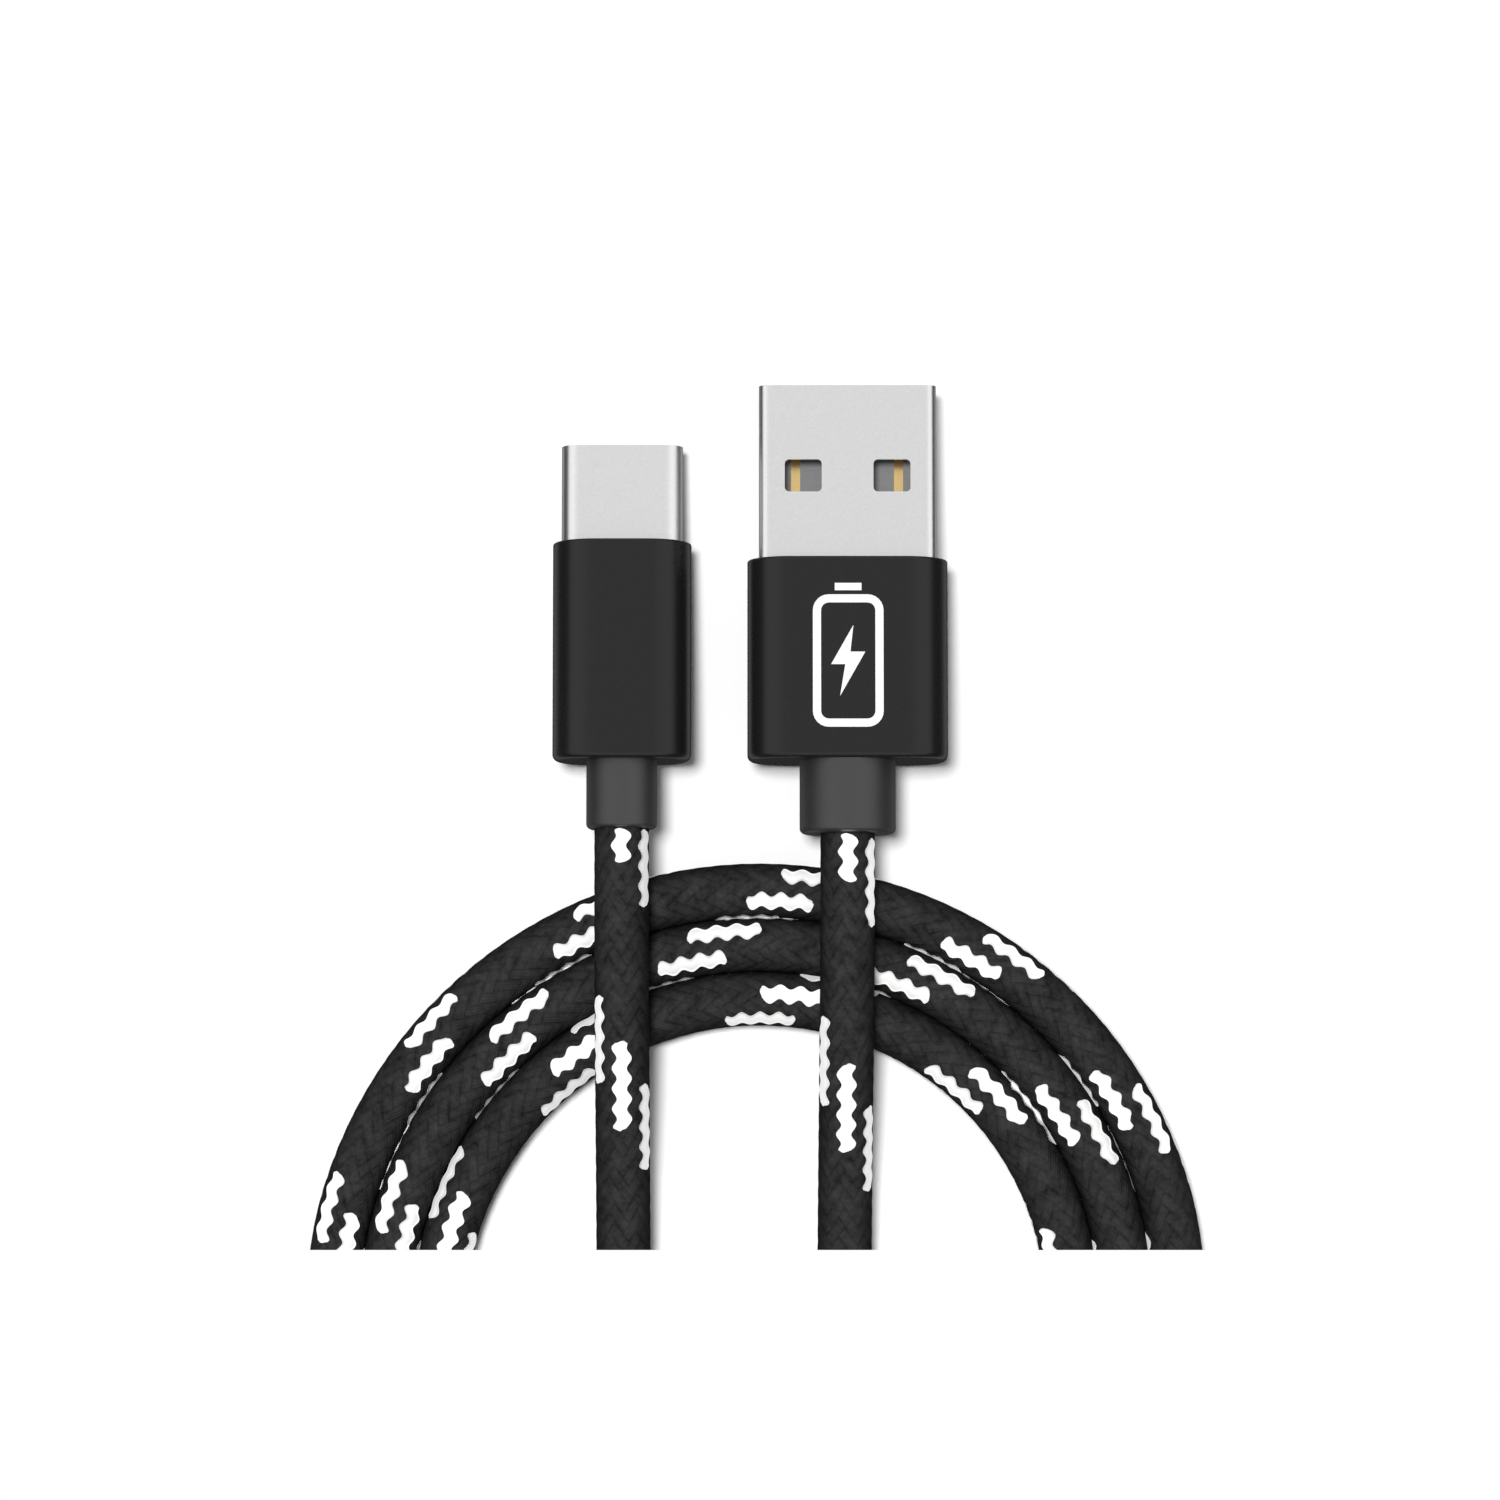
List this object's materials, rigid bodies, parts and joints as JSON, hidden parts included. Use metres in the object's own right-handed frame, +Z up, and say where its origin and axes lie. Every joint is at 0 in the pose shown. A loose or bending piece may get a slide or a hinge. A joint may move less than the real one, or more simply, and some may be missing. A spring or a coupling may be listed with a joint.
{
  "type": "charging cable",
  "caption": "USB-A to USB-C charging cable with a flecked braided cord, slim black plug housings and short strain reliefs, laid in a flat oval coil.",
  "frame": {"origin": "on the surface the cable lies on, under the middle of the box around the two plugs", "axes": "+Z up, +Y the way both plugs point, +X from the USB-C plug to the USB-A plug"},
  "size_m": [0.0647, 0.1397, 0.0084],
  "materials": {
    "plug_metal": "fine satin nickel plate",
    "spring_metal": "rolled stainless spring strip",
    "clamp_metal": "rolled tinned steel",
    "contact_gold": "gold plate",
    "tongue_plastic": "moulded, satin",
    "insulator_black": "moulded, satin",
    "mould_plastic": "overmoulded, satin",
    "housing_black": "black anodised, satin",
    "relief_black": "moulded elastomer, gloss",
    "board": "green solder mask",
    "resistor": "black chip with tinned ends",
    "wire_red": "extruded insulation",
    "wire_white": "extruded insulation",
    "wire_green": "extruded insulation",
    "wire_black": "extruded insulation",
    "braid": "braided polyester yarn, charcoal with white flecks"
  },
  "bodies": {
    "cable": {"usb_a_shell": "plug_metal", "usb_a_insulator": "tongue_plastic", "usb_a_contact_vbus": "contact_gold", "usb_a_contact_d_minus": "contact_gold", "usb_a_contact_d_plus": "contact_gold", "usb_a_contact_ground": "contact_gold", "usb_a_inner_mould": "mould_plastic", "usb_a_housing": "housing_black", "usb_a_strain_relief": "relief_black", "usb_a_cable_clamp": "clamp_metal", "usb_a_cable_end": "braid", "usb_a_wire_red": "wire_red", "usb_a_wire_white": "wire_white", "usb_a_wire_green": "wire_green", "usb_a_wire_black": "wire_black", "usb_c_shell": "plug_metal", "usb_c_insulator": "insulator_black", "usb_c_contacts_upper": "contact_gold", "usb_c_contacts_lower": "contact_gold", "usb_c_ground_plate": "spring_metal", "usb_c_emi_spring_upper": "spring_metal", "usb_c_emi_spring_lower": "spring_metal", "usb_c_circuit_board": "board", "usb_c_resistor": "resistor", "usb_c_inner_mould": "mould_plastic", "usb_c_housing": "housing_black", "usb_c_strain_relief": "relief_black", "usb_c_cable_clamp": "clamp_metal", "usb_c_cable_end": "braid", "usb_c_wire_red": "wire_red", "usb_c_wire_white": "wire_white", "usb_c_wire_green": "wire_green", "usb_c_wire_black": "wire_black", "cable_lead_a": "braid", "cable_lead_c": "braid", "cable_coil": "braid"},
    "latch_left": {"usb_c_latch_left": "spring_metal"},
    "latch_right": {"usb_c_latch_right": "spring_metal"}
  },
  "joints": [
    {"name": "latch_left_flex", "type": "hinge", "parent": "cable", "child": "latch_left", "pos_m": [-0.01219, 0.00243, 0.00321], "axis": [0, 0.1097, 0.994], "range_deg": [0, 1.6], "stiffness_Nm_per_rad": 1.2},
    {"name": "latch_right_flex", "type": "hinge", "parent": "cable", "child": "latch_right", "pos_m": [-0.00517, 0.00243, 0.00321], "axis": [0, -0.1097, -0.994], "range_deg": [0, 1.6], "stiffness_Nm_per_rad": 1.2}
  ]
}
